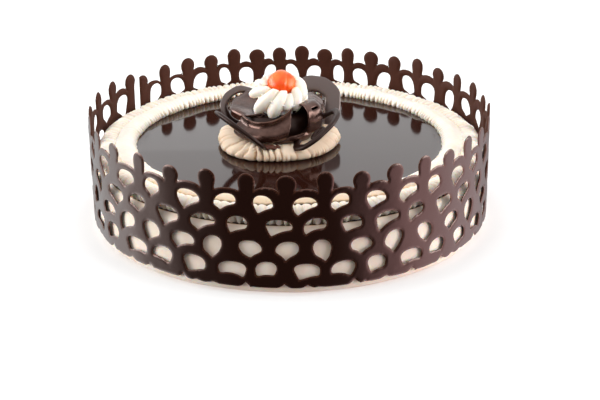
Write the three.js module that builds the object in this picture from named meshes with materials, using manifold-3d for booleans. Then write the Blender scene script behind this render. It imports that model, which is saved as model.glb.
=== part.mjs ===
// Round coffee and chocolate cake in a standing chocolate lattice collar.
// Millimetres, +Z up, origin at the middle of the flat underside.
// Azimuth 0 is the front (-Y) and grows towards +X.
import * as THREE from "three";
import { mergeVertices } from "three/addons/utils/BufferGeometryUtils.js";
import Module from "manifold-3d";

const wasm = await Module();
wasm.setup();

// Driving sizes of the body
const GAP = 0.3;
const CAKE_RADIUS = 121;
const CAKE_WALL_RADIUS = 124.7;
const CAKE_WALL_TOP = 34;
const CAKE_HEIGHT = 45.3;
const CAKE_SHOULDER = 40;
const CAKE_FOOT_ROUND = 1.2;
const CAKE_STEPS = 36;
const GLAZE_RADIUS = 97.6;
const GLAZE_THICKNESS = 1.2;
const GLAZE_EDGE = 0.5;

// Driving sizes of the combed cream border
const BORDER_INNER = 98.2;
const BORDER_OUTER = 124.2;
const BORDER_TOP = 52.4;
const BORDER_LIP = 40.4;
const BORDER_RIDGES = 56;
const BORDER_GROOVE = 0.9;
const BORDER_BELLY_DROP = 8;
const BORDER_OUTER_CREST = { inset: 7, drop: 1.3 };
const BORDER_CREASE = { inset: 13, drop: 3 };
const BORDER_INNER_CREST = 5.5;
const BORDER_EDGE = { inset: 1, drop: 2.6 };

// Driving sizes of the chocolate collar
const COLLAR_RADIUS = 127.5;
const COLLAR_THICKNESS = 2.4;
const COLLAR_BOTTOM = 4;
const COLLAR_TOP = 76;
const COLLAR_FACETS = 36;
const POSTS = 38;
const FIRST_POST = -121.6;
const STRIP_ANGLE = 354.2;
const STRIP_SLOW_WAVE = { sine: -0.49, cosine: 8.45 };
const STRIP_QUICK_WAVE = { sine: 0.81, cosine: 3.09 };
const POST_HEAD = 5.3;
const POST_NECK = 4.3;
const POST_TIP = 73.6;
const POST_TIP_WOBBLE = 1.1;
const HEAD_DROP = 5.5;
const ARCH_CROWN = 65;
const ARCH_CROWN_WOBBLE = 0.7;
const ARCH_SPRING = 62.3;
const EDGE_NOTCHES = 36;
const NOTCH_WIDTH = 9;
const NOTCH_HEIGHT = 2.4;
const SEAM_WIDTH = 3.4;
const SEAM_SAG = 4;
const SEAM_REACH = 2.2;

// Rows of holes from the top: height of the middle, height, width as a share of the post
// spacing, place ahead of the posts with its tilt and bow round the cake in post spacings,
// lean and pinch of the pointed lower end, corners of the outline.
const HOLE_ROWS = [
  {
    middle: 55.0, height: 11.2, share: 0.55, shift: 0.44, tilt: -0.12, bow: 0,
    lean: -0.1, pinch: 0.3, corners: 7,
  },
  {
    middle: 42.2, height: 11.6, share: 0.6, shift: 0.76, tilt: -0.17, bow: 0.18,
    lean: -0.35, pinch: 0.4, corners: 7,
  },
  {
    middle: 28.0, height: 11.8, share: 0.57, shift: 0.97, tilt: -0.24, bow: 0.59,
    lean: 0.3, pinch: 0.45, corners: 7,
  },
  {
    middle: 15.2, height: 9.6, share: 0.62, shift: 0.49, tilt: -0.15, bow: 0.36,
    lean: -0.15, pinch: 0.12, corners: 6,
  },
];
const HOLE_WIDTH_WOBBLE = 0.15;
const HOLE_HEIGHT_WOBBLE = 0.05;
const HOLE_RISE_WOBBLE = 0.45;
const HOLE_SHIFT_WOBBLE = 0.04;
const DRIFT_MIDDLE = 11.5;

// Driving sizes of the decoration
const CENTRE_X = -6.5;
const BASE_RADIUS = 38.4;
const BASE_HEIGHT = 7.6;
const BASE_PLEATS = 20;
const BASE_PLEAT_DEPTH = 1.5;
const CORE_RADIUS = 25;
const CORE_TOP = 66;
const SHEET = 1.6;
const SWIRL_RADIUS = 17.6;
const SWIRL_HEIGHT = 20;
const SWIRL_LOBES = 8;
const SWIRL_GROOVE = 0.2;
const SWIRL_TWIST = 75;
const SWIRL_LEAN = 18;
const SWIRL_ROLL = 8;
const CHERRY_RADIUS = 9.3;
const CHERRY_MIDDLE = [-4.7, -2, 86];
const WING_THICKNESS = 2.6;

const DEGREE = Math.PI / 180;
const GLAZE_TOP = CAKE_HEIGHT + GAP + GLAZE_THICKNESS;
const BASE_BOTTOM = GLAZE_TOP + GAP;
const CORE_BOTTOM = BASE_BOTTOM + BASE_HEIGHT + GAP;

// Small steady unevenness of hand piping, between -1 and 1
function wobble(index, row, kind) {
  return Math.sin(index * 2.4 + row * 1.7 + kind * 4.3);
}

function solidOf(geometry) {
  const bare = geometry.clone();
  bare.deleteAttribute("normal");
  bare.deleteAttribute("uv");
  const merged = mergeVertices(bare, 1e-4);
  const mesh = new wasm.Mesh({
    numProp: 3,
    vertProperties: new Float32Array(merged.attributes.position.array),
    triVerts: new Uint32Array(merged.index.array),
  });
  return new wasm.Manifold(mesh);
}

// The largest body of a solid, without loose scraps of a cut
function largestBody(solid) {
  const bodies = solid.decompose();
  bodies.sort((one, other) => other.volume() - one.volume());
  return bodies[0];
}

function geometryOf(solid) {
  const mesh = solid.getMesh();
  const geometry = new THREE.BufferGeometry();
  geometry.setAttribute("position", new THREE.BufferAttribute(mesh.vertProperties, 3));
  geometry.setIndex(new THREE.BufferAttribute(mesh.triVerts, 1));
  geometry.computeVertexNormals();
  return geometry;
}

// A turned body about Z from a profile of [radius, height] pairs, anticlockwise
function turned(profile, steps) {
  const points = profile.map(([radius, height]) => new THREE.Vector2(radius, height));
  const geometry = new THREE.LatheGeometry(points, steps);
  geometry.rotateX(Math.PI / 2);
  return geometry;
}

// Moves every vertex of a turned body: change(radius, azimuth, height) gives the new three
function reshaped(geometry, change) {
  const position = geometry.attributes.position;
  for (let index = 0; index < position.count; index += 1) {
    const x = position.getX(index);
    const y = position.getY(index);
    const azimuth = Math.atan2(x, -y);
    const [radius, turn, height] = change(Math.hypot(x, y), azimuth, position.getZ(index));
    position.setXYZ(index, radius * Math.sin(turn), -radius * Math.cos(turn), height);
  }
  return geometry;
}

// Cake body: its cream wall reaches the collar and draws in to a shoulder under the border
function cakeGeometry() {
  return turned([
    [0, 0],
    [CAKE_WALL_RADIUS - CAKE_FOOT_ROUND, 0],
    [CAKE_WALL_RADIUS, CAKE_FOOT_ROUND],
    [CAKE_WALL_RADIUS, CAKE_WALL_TOP],
    [CAKE_RADIUS, CAKE_SHOULDER],
    [CAKE_RADIUS, CAKE_HEIGHT],
    [0, CAKE_HEIGHT],
  ], CAKE_STEPS);
}

// Poured mirror glaze
function glazeGeometry() {
  const bottom = CAKE_HEIGHT + GAP;
  return turned([
    [0, bottom],
    [GLAZE_RADIUS, bottom],
    [GLAZE_RADIUS, GLAZE_TOP - GLAZE_EDGE],
    [GLAZE_RADIUS - GLAZE_EDGE, GLAZE_TOP],
    [0, GLAZE_TOP],
  ], CAKE_STEPS);
}

// Cream border: two combed swells that hang over the shoulder of the cake
function borderGeometry() {
  const seat = CAKE_HEIGHT + GAP;
  const wall = CAKE_RADIUS + GAP;
  const profile = [
    [BORDER_INNER, seat],
    [wall, seat],
    [wall, BORDER_LIP],
    [BORDER_OUTER, BORDER_TOP - BORDER_BELLY_DROP],
    [BORDER_OUTER - BORDER_OUTER_CREST.inset, BORDER_TOP - BORDER_OUTER_CREST.drop],
    [BORDER_INNER + BORDER_CREASE.inset, BORDER_TOP - BORDER_CREASE.drop],
    [BORDER_INNER + BORDER_INNER_CREST, BORDER_TOP],
    [BORDER_INNER + BORDER_EDGE.inset, BORDER_TOP - BORDER_EDGE.drop],
    [BORDER_INNER, seat],
  ];
  const geometry = turned(profile, BORDER_RIDGES * 2);
  return reshaped(geometry, (radius, azimuth, height) => {
    const groove = Math.round(azimuth / Math.PI * BORDER_RIDGES) % 2 === 0 ? 0 : 1;
    const seated = Math.abs(height - seat) < 0.01 || Math.abs(radius - wall) < 0.01;
    if (seated || groove === 0) {
      return [radius, azimuth, height];
    }
    const outside = radius > BORDER_OUTER - 3;
    return [
      outside ? radius - BORDER_GROOVE : radius,
      azimuth,
      outside ? height : height - BORDER_GROOVE,
    ];
  });
}

// Azimuth of a place on the collar's strip, counted in posts from its loose end
function stripAzimuth(place) {
  const share = 2 * Math.PI * place / (POSTS - 1);
  const even = FIRST_POST + STRIP_ANGLE * place / (POSTS - 1);
  const slow = STRIP_SLOW_WAVE.sine * Math.sin(share) + STRIP_SLOW_WAVE.cosine * (1 - Math.cos(share));
  const double = 2 * share;
  const quick = STRIP_QUICK_WAVE.sine * Math.sin(double) + STRIP_QUICK_WAVE.cosine * (1 - Math.cos(double));
  return even + slow + quick;
}

function stripSpacing(place) {
  return (stripAzimuth(place + 0.5) - stripAzimuth(place - 0.5)) * DEGREE * COLLAR_RADIUS;
}

// The strip sags towards its last end, at the seam
function seamSag(place) {
  return SEAM_SAG * Math.exp((place + 1 - POSTS) / SEAM_REACH);
}

function postTip(post) {
  return POST_TIP + POST_TIP_WOBBLE * wobble(post, 0, 1) - seamSag(post);
}

// A cutter that goes through the collar at an azimuth, from an outline in its tangent plane
function collarCutter(points, azimuth) {
  const outline = new THREE.Shape(points.map(([along, height]) => new THREE.Vector2(along, height)));
  const geometry = new THREE.ExtrudeGeometry(outline, { depth: 12, bevelEnabled: false });
  geometry.translate(0, 0, COLLAR_RADIUS - 8);
  geometry.rotateX(Math.PI / 2);
  geometry.rotateZ(azimuth * DEGREE);
  return solidOf(geometry);
}

// One edge of a round-headed post, from its tip down to where the arch springs; side is 1 or -1
function postEdge(along, post, side) {
  const tip = postTip(post);
  return [
    [along - side * 0.25, COLLAR_TOP + 2],
    [along - side * 0.25, tip],
    [along + side * POST_HEAD * 0.62, tip - 1.1],
    [along + side * POST_HEAD, tip - HEAD_DROP],
    [along + side * POST_NECK, ARCH_SPRING - seamSag(post)],
  ];
}

// The open window between two posts, down to the crown of the arch that joins them
function windowCutter(post) {
  const azimuth = stripAzimuth(post + 0.5);
  const reach = (stripAzimuth(post) - azimuth) * DEGREE * COLLAR_RADIUS;
  const reachNext = (stripAzimuth(post + 1) - azimuth) * DEGREE * COLLAR_RADIUS;
  const crown = ARCH_CROWN + ARCH_CROWN_WOBBLE * wobble(post, 0, 2) - seamSag(post + 0.5);
  const left = postEdge(reach, post, 1);
  const right = postEdge(reachNext, post + 1, -1).reverse();
  const flank = (reachNext - reach) * 0.12;
  return collarCutter([...left, [-flank, crown], [flank, crown], ...right], azimuth);
}

// The seam where the two ends of the strip meet without touching
function seamCutter() {
  const last = stripAzimuth(POSTS - 1) - 360;
  const azimuth = (FIRST_POST + last) / 2;
  const reach = (last - azimuth) * DEGREE * COLLAR_RADIUS;
  const half = SEAM_WIDTH / 2;
  const left = postEdge(reach, POSTS - 1, 1).slice(0, 4);
  const right = postEdge(-reach, 0, -1).slice(0, 4).reverse();
  const foot = COLLAR_BOTTOM - 2;
  return collarCutter([...left, [-half, foot], [half, foot], ...right], azimuth);
}

// Place of a hole along the strip, counted in posts
function holePlace(row, index) {
  const even = index + row.shift;
  const side = Math.sin(2 * Math.PI * (even - DRIFT_MIDDLE) / (POSTS - 1));
  const uneven = HOLE_SHIFT_WOBBLE * wobble(index, HOLE_ROWS.indexOf(row), 6);
  return even + row.tilt * side + row.bow * side * side + uneven;
}

// A hole with a domed top and a leaning pointed bottom
function holeCutter(row, place, index) {
  const level = HOLE_ROWS.indexOf(row);
  const half = stripSpacing(place) * row.share * (1 + HOLE_WIDTH_WOBBLE * wobble(index, level, 3)) / 2;
  const sag = level === 0 ? seamSag(place) : 0;
  const tall = (row.height * (1 + HOLE_HEIGHT_WOBBLE * wobble(index, level, 4)) - 0.4 * sag) / 2;
  const middle = row.middle + HOLE_RISE_WOBBLE * wobble(index, level, 5) - 0.6 * sag;
  const points = [];
  for (let step = 0; step < row.corners; step += 1) {
    const angle = 2 * Math.PI * step / row.corners - Math.PI / 2;
    const low = Math.max(0, -Math.sin(angle));
    const along = half * (Math.cos(angle) * (1 - row.pinch * low) + row.lean * low * low);
    points.push([along, middle + tall * Math.sin(angle)]);
  }
  return collarCutter(points, stripAzimuth(place));
}

function collarSolid() {
  const inner = COLLAR_RADIUS - COLLAR_THICKNESS;
  const ring = turned([
    [inner, COLLAR_BOTTOM],
    [COLLAR_RADIUS, COLLAR_BOTTOM],
    [COLLAR_RADIUS, COLLAR_TOP],
    [inner, COLLAR_TOP],
    [inner, COLLAR_BOTTOM],
  ], COLLAR_FACETS);
  const cutters = [seamCutter()];
  for (let post = 0; post < POSTS - 1; post += 1) {
    cutters.push(windowCutter(post));
  }
  for (const row of HOLE_ROWS) {
    for (let index = -1; index < POSTS; index += 1) {
      const place = holePlace(row, index);
      if (place > 0.35 && place < POSTS - 1.35) {
        cutters.push(holeCutter(row, place, index));
      }
    }
  }
  for (let notch = 0; notch < EDGE_NOTCHES; notch += 1) {
    const half = NOTCH_WIDTH * (1 + 0.25 * wobble(notch, 5, 1)) / 2;
    const peak = COLLAR_BOTTOM + NOTCH_HEIGHT * (1 + 0.4 * wobble(notch, 5, 2));
    const low = COLLAR_BOTTOM - 1;
    const azimuth = FIRST_POST + 5 + (STRIP_ANGLE - 10) * (notch + 0.3 * wobble(notch, 5, 3)) / EDGE_NOTCHES;
    cutters.push(collarCutter([[-half, low], [half, low], [0, peak]], azimuth));
  }
  return largestBody(solidOf(ring).subtract(wasm.Manifold.union(cutters)));
}

// Low pleated ring of piped cream under the chocolate
function baseGeometry() {
  const top = BASE_BOTTOM + BASE_HEIGHT;
  const profile = [
    [0, BASE_BOTTOM],
    [BASE_RADIUS - 0.8, BASE_BOTTOM],
    [BASE_RADIUS, BASE_BOTTOM + 2.2],
    [BASE_RADIUS - 4, BASE_BOTTOM + 5.6],
    [BASE_RADIUS - 10, top],
    [0, top],
  ];
  return reshaped(turned(profile, BASE_PLEATS * 2), (radius, azimuth, height) => {
    const fold = Math.cos(azimuth * BASE_PLEATS) * BASE_PLEAT_DEPTH;
    return [radius > BASE_RADIUS - 5 ? radius + fold : radius, azimuth, height];
  });
}

// Wings: piped oval plates that stand round the decoration and lean outwards.
// middle is the middle of the plate, heading the azimuth it leans to, lean its angle from
// upright, roll the turn of the oval in its own plane, opening its hole as a share of the oval.
const WINGS = {
  wing_back_left: {
    middle: [-30.3, 21, 63.4], heading: 205, lean: 32, roll: 0,
    half: [15.6, 14.2], opening: [0.68, 0.66],
  },
  wing_back_right: {
    middle: [15.5, 22, 65.4], heading: 165, lean: 34, roll: -20,
    half: [18.6, 18.8], opening: [0.42, 0.4],
  },
  wing_front_left: {
    middle: [-29.9, -31, 65.5], heading: -62.2, lean: 46.8, roll: 45.8,
    half: [14.5, 20], opening: [0.68, 0.7],
  },
  wing_front_right: {
    middle: [17.3, -24.9, 63.6], heading: 96.4, lean: 56.7, roll: -35.1,
    half: [13.5, 20], opening: [0.7, 0.76],
  },
};

function ovalOutline(half, grow) {
  const outline = new THREE.Shape();
  outline.absellipse(0, 0, half[0] + grow, half[1] + grow, 0, 2 * Math.PI);
  return outline;
}

function wingGeometry(wing, grow, opened) {
  const outline = ovalOutline(wing.half, grow);
  if (opened) {
    const hole = new THREE.Path();
    hole.absellipse(0, 0, wing.half[0] * wing.opening[0], wing.half[1] * wing.opening[1], 0, 2 * Math.PI);
    outline.holes.push(hole);
  }
  const depth = WING_THICKNESS + 2 * grow;
  const geometry = new THREE.ExtrudeGeometry(outline, { depth, bevelEnabled: false, curveSegments: 8 });
  geometry.translate(0, 0, -depth / 2);
  geometry.rotateZ(wing.roll * DEGREE);
  geometry.rotateX(Math.PI / 2);
  geometry.rotateX(wing.lean * DEGREE);
  geometry.rotateZ(wing.heading * DEGREE);
  geometry.translate(...wing.middle);
  return geometry;
}

// Curls of the chocolate ruffle: rolled sheets that stand round a core like petals.
// from and to are azimuths about the decoration's middle, rim, belly and foot are radii,
// droop is the share by which the rim is lower at the two ends than in the middle.
const CURLS = [
  { from: -64, to: 24, rim: 25.5, belly: 31.5, foot: 26, top: 66.5, droop: -0.35 },
  { from: 38, to: 118, rim: 23, belly: 26.5, foot: 23, top: 76, droop: 0.25 },
  { from: 112, to: 205, rim: 22.5, belly: 25.5, foot: 22.5, top: 71, droop: 0.3 },
  { from: 200, to: 302, rim: 24, belly: 28.5, foot: 24, top: 73, droop: 0.3 },
];
const CURL_STEPS = 4;

function curlGeometry(curl) {
  const low = CORE_BOTTOM;
  const tall = curl.top - low;
  const path = (inset) => [
    [curl.foot - inset, low],
    [curl.belly - inset, low + tall * 0.3],
    [curl.belly - inset, low + tall * 0.58],
    [curl.rim - inset, curl.top],
  ];
  const around = [...path(0), ...path(SHEET).reverse()];
  const outline = new THREE.Shape(around.map(([radius, height]) => new THREE.Vector2(radius, height)));
  const geometry = new THREE.ExtrudeGeometry(outline, { depth: 1, steps: CURL_STEPS, bevelEnabled: false });
  const position = geometry.attributes.position;
  for (let index = 0; index < position.count; index += 1) {
    const share = position.getZ(index);
    const azimuth = (curl.to + (curl.from - curl.to) * share) * DEGREE;
    const end = Math.pow(2 * share - 1, 2);
    const radius = position.getX(index) - 2.5 * end;
    const height = low + (position.getY(index) - low) * (1 - curl.droop * end);
    position.setXYZ(index, radius * Math.sin(azimuth), -radius * Math.cos(azimuth), height);
  }
  return geometry;
}

function ruffleSolid(slots) {
  const core = turned([
    [0, CORE_BOTTOM],
    [CORE_RADIUS, CORE_BOTTOM],
    [CORE_RADIUS - 2, CORE_BOTTOM + 5],
    [SWIRL_RADIUS - 1, CORE_TOP],
    [0, CORE_TOP],
  ], 18);
  let solid = solidOf(core);
  for (const curl of CURLS) {
    solid = solid.add(solidOf(curlGeometry(curl)));
  }
  solid = solid.translate([CENTRE_X, 0, 0]);
  return largestBody(solid.subtract(slots));
}

// Piped cream rosette with twisted ridges, leaning a little to the front
function swirlGeometry() {
  const tall = SWIRL_HEIGHT;
  const profile = [
    [0, 0],
    [SWIRL_RADIUS * 0.86, 0],
    [SWIRL_RADIUS, tall * 0.22],
    [SWIRL_RADIUS * 0.96, tall * 0.5],
    [SWIRL_RADIUS * 0.8, tall * 0.78],
    [SWIRL_RADIUS * 0.56, tall],
    [0, tall],
  ];
  const geometry = turned(profile, SWIRL_LOBES * 3);
  return reshaped(geometry, (radius, azimuth, height) => {
    const ridge = 1 - SWIRL_GROOVE * (0.5 - 0.5 * Math.cos(azimuth * SWIRL_LOBES));
    return [radius * ridge, azimuth + SWIRL_TWIST * DEGREE * height / tall, height];
  });
}

function swirlSolid() {
  const geometry = swirlGeometry();
  geometry.rotateX(SWIRL_LEAN * DEGREE);
  geometry.rotateY(-SWIRL_ROLL * DEGREE);
  geometry.translate(CENTRE_X, 3, CORE_TOP + 2.5);
  const seat = new THREE.BoxGeometry(200, 200, 40);
  seat.translate(0, 0, CORE_TOP + GAP - 20);
  const dimple = cherryGeometry(GAP);
  return largestBody(solidOf(geometry).subtract(solidOf(seat)).subtract(solidOf(dimple)));
}

function cherryGeometry(grow) {
  const geometry = new THREE.SphereGeometry(CHERRY_RADIUS + grow, 14, 8);
  geometry.rotateX(Math.PI / 2);
  geometry.translate(...CHERRY_MIDDLE);
  return geometry;
}

// Assembly of the named pieces
const slots = wasm.Manifold.union(
  Object.values(WINGS).map((wing) => solidOf(wingGeometry(wing, GAP, false))),
);
const base = baseGeometry();
base.translate(CENTRE_X, 0, 0);

const cake = new THREE.Group();
function addPiece(name, geometry, colour, roughness) {
  const material = new THREE.MeshStandardMaterial({ color: colour, roughness, metalness: 0 });
  const mesh = new THREE.Mesh(geometry, material);
  mesh.name = name;
  cake.add(mesh);
}

addPiece("cake", cakeGeometry(), 0xe9d2bd, 0.7);
addPiece("glaze", glazeGeometry(), 0x35201a, 0.08);
addPiece("cream_border", borderGeometry(), 0xf6efe6, 0.6);
addPiece("collar", geometryOf(collarSolid()), 0x2a1512, 0.3);
addPiece("cream_base", geometryOf(largestBody(solidOf(base).subtract(slots))), 0xf6e8d2, 0.6);
addPiece("chocolate_ruffle", geometryOf(ruffleSolid(slots)), 0x4a2418, 0.3);
for (const [name, wing] of Object.entries(WINGS)) {
  addPiece(name, wingGeometry(wing, 0, true), 0x3a1c14, 0.3);
}
addPiece("cream_swirl", geometryOf(swirlSolid()), 0xf8f1e8, 0.6);
addPiece("cherry", cherryGeometry(0), 0xe2452c, 0.15);

export default cake;
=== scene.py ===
# %% [markdown]
# A round coffee and chocolate cake stands in a collar of piped chocolate. Its top is a dark mirror
# glaze inside a ring of combed cream, and the middle carries cream, chocolate curls and a cherry.
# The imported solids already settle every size, so this lesson loads them as a frame and then
# rebuilds each surface with the finish that the real one has.

# %% Load the frame
import math

import bmesh
import bpy
import numpy as np
from mathutils import Matrix, Vector


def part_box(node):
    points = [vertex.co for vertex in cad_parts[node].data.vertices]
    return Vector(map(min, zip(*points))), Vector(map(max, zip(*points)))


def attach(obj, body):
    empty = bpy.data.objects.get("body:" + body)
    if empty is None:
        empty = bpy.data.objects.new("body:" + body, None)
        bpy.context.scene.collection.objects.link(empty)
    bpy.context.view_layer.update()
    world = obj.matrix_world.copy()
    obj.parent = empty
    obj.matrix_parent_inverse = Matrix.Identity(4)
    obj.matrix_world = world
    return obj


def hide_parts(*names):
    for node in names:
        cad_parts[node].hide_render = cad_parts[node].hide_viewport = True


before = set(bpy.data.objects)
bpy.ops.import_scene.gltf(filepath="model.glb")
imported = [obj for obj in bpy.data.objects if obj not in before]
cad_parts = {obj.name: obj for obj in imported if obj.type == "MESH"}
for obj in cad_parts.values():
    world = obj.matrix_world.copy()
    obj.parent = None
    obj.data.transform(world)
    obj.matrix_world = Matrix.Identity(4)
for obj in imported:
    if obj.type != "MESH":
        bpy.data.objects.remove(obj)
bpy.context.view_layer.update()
MM = 0.001
TURN = 2 * math.pi
print("solids:", ", ".join(sorted(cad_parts)))

# %% [markdown]
# Modelling in millimetres keeps the numbers readable, and a finished mesh is scaled to metres once.
# Most pieces are round, so two helpers turn points into radius, azimuth and height and back: azimuth
# 0 is the front of the cake and grows towards the right. Another writes a value to every point, for a
# material to read, and the last gives every numbered post, loop or ridge its own small unevenness.

# %% Helpers for points on a mesh
def points_of(mesh):
    flat = np.empty(len(mesh.vertices) * 3)
    mesh.vertices.foreach_get("co", flat)
    return flat.reshape(-1, 3)


def set_points(mesh, points):
    mesh.vertices.foreach_set("co", np.ascontiguousarray(points).ravel())
    mesh.update()


def polar(mesh):
    x, y, height = points_of(mesh).T
    return np.hypot(x, y), np.arctan2(x, -y), height


def round_points(radius, azimuth, height):
    return np.stack([radius * np.sin(azimuth), -radius * np.cos(azimuth), height], axis=1)


def mark(mesh, name, values):
    mesh.attributes.new(name, "FLOAT", "POINT").data.foreach_set("value", values.astype(np.float32))


def wobble(index, row, kind):
    return np.sin(index * 2.4 + row * 1.7 + kind * 4.3)


print("unevenness of one post:", round(float(wobble(3, 0, 1)), 3))

# %% [markdown]
# Three steps end the making of every piece: the bmesh becomes a mesh with its faces outward, the
# mesh is scaled to metres with smooth shading, and the object is tied to the frame. Keeping them in
# two helpers means that no piece can miss one. A third spins a profile round the upright axis, which
# is how most of the round pieces start, and a fourth adds one bmesh to another.

# %% Helpers that start and finish a piece
def mesh_of(shape, name):
    bmesh.ops.recalc_face_normals(shape, faces=shape.faces)
    mesh = bpy.data.meshes.new(name)
    shape.to_mesh(mesh)
    shape.free()
    return mesh


def finish_piece(name, mesh, material, node=None, sharp=None, rounds=0):
    set_points(mesh, points_of(mesh) * MM)
    mesh.shade_smooth()
    if sharp:
        mesh.set_sharp_from_angle(angle=math.radians(sharp))
    mesh.materials.append(material)
    piece = bpy.data.objects.new(name, mesh)
    bpy.context.scene.collection.objects.link(piece)
    if rounds:
        soften = piece.modifiers.new("soften", "SUBSURF")
        soften.levels = rounds
        soften.render_levels = rounds
    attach(piece, "root")
    if node:
        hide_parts(node)
    mesh.calc_loop_triangles()
    print(name, len(mesh.loop_triangles) * 4 ** rounds, "triangles")


def spun(profile, steps, closed=False):
    shape = bmesh.new()
    points = [shape.verts.new((radius, 0, height)) for radius, height in profile]
    ends = points[1:] + points[:1] if closed else points[1:]
    edges = [shape.edges.new(pair) for pair in zip(points, ends)]
    bmesh.ops.spin(shape, geom=points + edges, cent=(0, 0, 0), axis=(0, 0, 1),
                   angle=TURN, steps=steps, use_merge=True)
    bmesh.ops.remove_doubles(shape, verts=shape.verts, dist=0.001)
    return shape


def add_shape(shape, extra):
    spare = mesh_of(extra, "spare")
    shape.from_mesh(spare)
    bpy.data.meshes.remove(spare)


print("helpers ready")

# %% [markdown]
# Colours are picked as sRGB, the way a colour picker shows them, but shaders work in linear light,
# so one function converts them. Another adds any shader node with its settings, colour stops and
# links, which keeps every material to a few readable lines. Where an input is given a node, the link
# comes from the first socket of that node. A third starts a material on the piece's own coordinates.

# %% Helpers for materials
def linear(hex_colour):
    parts = [int(hex_colour[start:start + 2], 16) / 255 for start in (1, 3, 5)]
    return [part / 12.92 if part < 0.04045 else ((part + 0.055) / 1.055) ** 2.4 for part in parts] + [1]


def add_node(tree, kind, inputs, stops=(), **settings):
    node = tree.nodes.new(kind)
    for name, value in settings.items():
        setattr(node, name, value)
    for index, (place, colour) in enumerate(stops):
        elements = node.color_ramp.elements
        element = elements[index] if index < 2 else elements.new(place)
        element.position = place
        element.color = linear(colour) if isinstance(colour, str) else (colour, colour, colour, 1)
    for name, value in inputs.items():
        if isinstance(value, bpy.types.Node):
            value = value.outputs[0]
        if isinstance(value, bpy.types.NodeSocket):
            tree.links.new(value, node.inputs[name])
        else:
            node.inputs[name].default_value = value
    return node


def new_material(name):
    material = bpy.data.materials.new(name)
    material.use_nodes = True
    material.node_tree.nodes.clear()
    place = add_node(material.node_tree, "ShaderNodeTexCoord", {})
    return material, material.node_tree, place.outputs["Object"]


print("white in linear light:", linear("#FFFFFF"))

# %% [markdown]
# Whipped cream is fat and air. Light goes a little way into it and comes out warmer, so shallow
# grooves stay creamy instead of turning grey. Subsurface scattering gives that glow. A slow noise
# mixes two close tints, since cream is never one flat white, and a fine bump breaks the shine the
# way small air bubbles do. Shade in grooves and gaps is painted into the colour as well: the meshes
# mark such places with a value from 0 to 1, and the cream turns a warm tan there as painted shade,
# and dark brown as painted deep shade where the value is high.

# %% Cream materials
def cream(name, pale, warm, warm_shade, deep, bubble_mm, bump_mm):
    material, tree, place = new_material(name)
    patches = add_node(tree, "ShaderNodeTexNoise", {"Vector": place, "Scale": 1 / (14 * MM), "Detail": 3})
    tint = add_node(tree, "ShaderNodeValToRGB", {"Fac": patches}, stops=[(0.36, warm), (0.62, pale)])
    # Painted shade: the value read here turns the cream warm tan and then dark brown where the mesh marks
    # it.
    painted_shade = add_node(tree, "ShaderNodeAttribute", {}, attribute_name="painted_shade").outputs["Fac"]
    inside = add_node(tree, "ShaderNodeValToRGB", {"Fac": painted_shade}, stops=[(0.45, warm_shade), (0.9, deep)])
    blend = add_node(tree, "ShaderNodeMapRange", {"Value": painted_shade, "From Max": 0.5})
    shade = add_node(tree, "ShaderNodeMixRGB", {"Fac": blend, "Color1": tint, "Color2": inside})
    bubbles = add_node(tree, "ShaderNodeTexNoise", {
        "Vector": place, "Scale": 1 / (bubble_mm * MM), "Detail": 4})
    bump = add_node(tree, "ShaderNodeBump", {"Height": bubbles, "Strength": 0.6, "Distance": bump_mm * MM})
    skin = add_node(tree, "ShaderNodeBsdfPrincipled", {
        "Base Color": shade, "Roughness": 0.5, "IOR": 1.45, "Specular IOR Level": 0.3,
        "Subsurface Weight": 0.4, "Subsurface Scale": 1.6 * MM, "Subsurface Radius": (1, 0.62, 0.38),
        "Normal": bump})
    add_node(tree, "ShaderNodeOutputMaterial", {"Surface": skin})
    return material


# The last two colours of each cream are painted shade: a warm tan for grooves and a dark brown for deep
# gaps.
whipped_cream = cream("whipped cream, combed", "#F7EFE4", "#F3E7D8", "#F4DAB8", "#34200F", 1.6, 0.25)
piped_cream = cream("coffee cream, piped", "#E6D2BB", "#DEC3A9", "#C89E78", "#7E5636", 2.4, 0.5)
spread_cream = cream("coffee cream, spread with a knife", "#F3E5D7", "#EDDBCA", "#E0C0A0", "#2E1C0E", 7, 0.5)
print("cream:", whipped_cream.name, "|", piped_cream.name, "|", spread_cream.name)
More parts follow.
